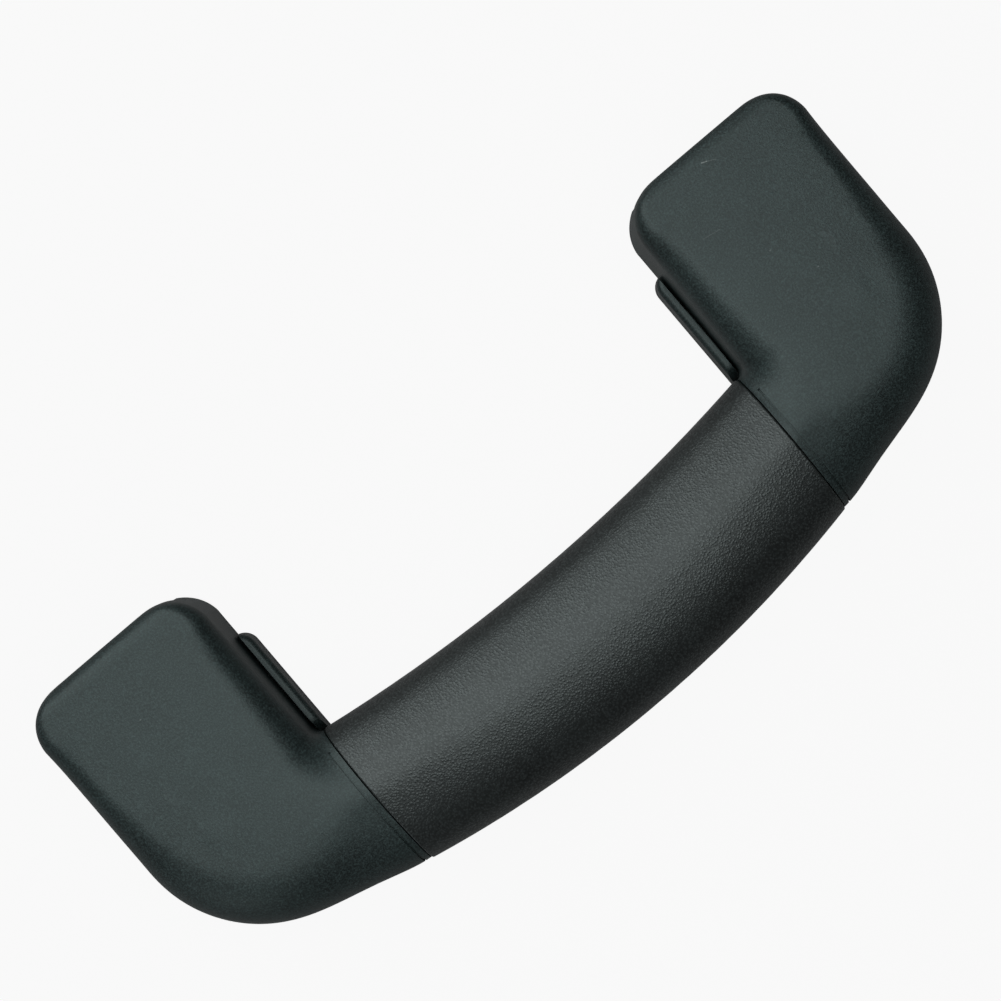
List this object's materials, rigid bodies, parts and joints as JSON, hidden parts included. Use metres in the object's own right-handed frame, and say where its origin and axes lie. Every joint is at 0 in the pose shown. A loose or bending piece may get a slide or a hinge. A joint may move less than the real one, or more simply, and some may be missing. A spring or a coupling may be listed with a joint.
{
  "type": "roof grab handle",
  "caption": "Fold-down roof grab handle: a bowed padded grip between two rounded feet, hinged on screw-on bases with a return spring and a damper.",
  "frame": {"origin": "on the mounting plane, midway between the two roof screw holes", "axes": "+X along the grip to the foot that is upper right in the picture, +Y from the grip to the hinges at the feet's far ends, +Z away from the roof towards the person"},
  "size_m": [0.2088, 0.084, 0.0312],
  "materials": {
    "foot_plastic": "fine grained",
    "grip_rubber": "leather grained soft plastic",
    "core_plastic": "satin",
    "base_plastic": "satin",
    "cover_plastic": "fine grained",
    "bush_plastic": "satin natural",
    "damper_plastic": "satin",
    "bumper_rubber": "matt",
    "zinc_steel": "zinc plated",
    "pin_steel": "ground",
    "screw_steel": "dark zinc plated",
    "spring_steel": "bright"
  },
  "bodies": {
    "base": {"hinge_base_right": "base_plastic", "hinge_base_left": "base_plastic", "screw_cover_right": "cover_plastic", "screw_cover_left": "cover_plastic", "screw_tube_right": "zinc_steel", "screw_tube_left": "zinc_steel", "stop_bumper_right": "bumper_rubber", "stop_bumper_left": "bumper_rubber", "hinge_pin_right": "pin_steel", "hinge_pin_left": "pin_steel", "pin_retainer_right": "spring_steel", "pin_retainer_left": "spring_steel", "damper_rotor": "bush_plastic", "torsion_spring": "spring_steel"},
    "handle": {"handle_core": "core_plastic", "grip_sleeve": "grip_rubber", "end_cap_right": "foot_plastic", "end_cap_left": "foot_plastic", "cap_screws": "screw_steel", "pivot_bushes_right": "bush_plastic", "pivot_bushes_left": "bush_plastic", "damper_housing": "damper_plastic", "damper_lid": "damper_plastic"}
  },
  "joints": [
    {"name": "handle_fold", "type": "hinge", "parent": "base", "child": "handle", "pos_m": [0, 0.022, 0.014], "axis": [-1, 0, 0], "range_deg": [0, 75], "stiffness_Nm_per_rad": 0.15, "springref_deg": -51.57, "deforming": ["torsion_spring"]}
  ]
}
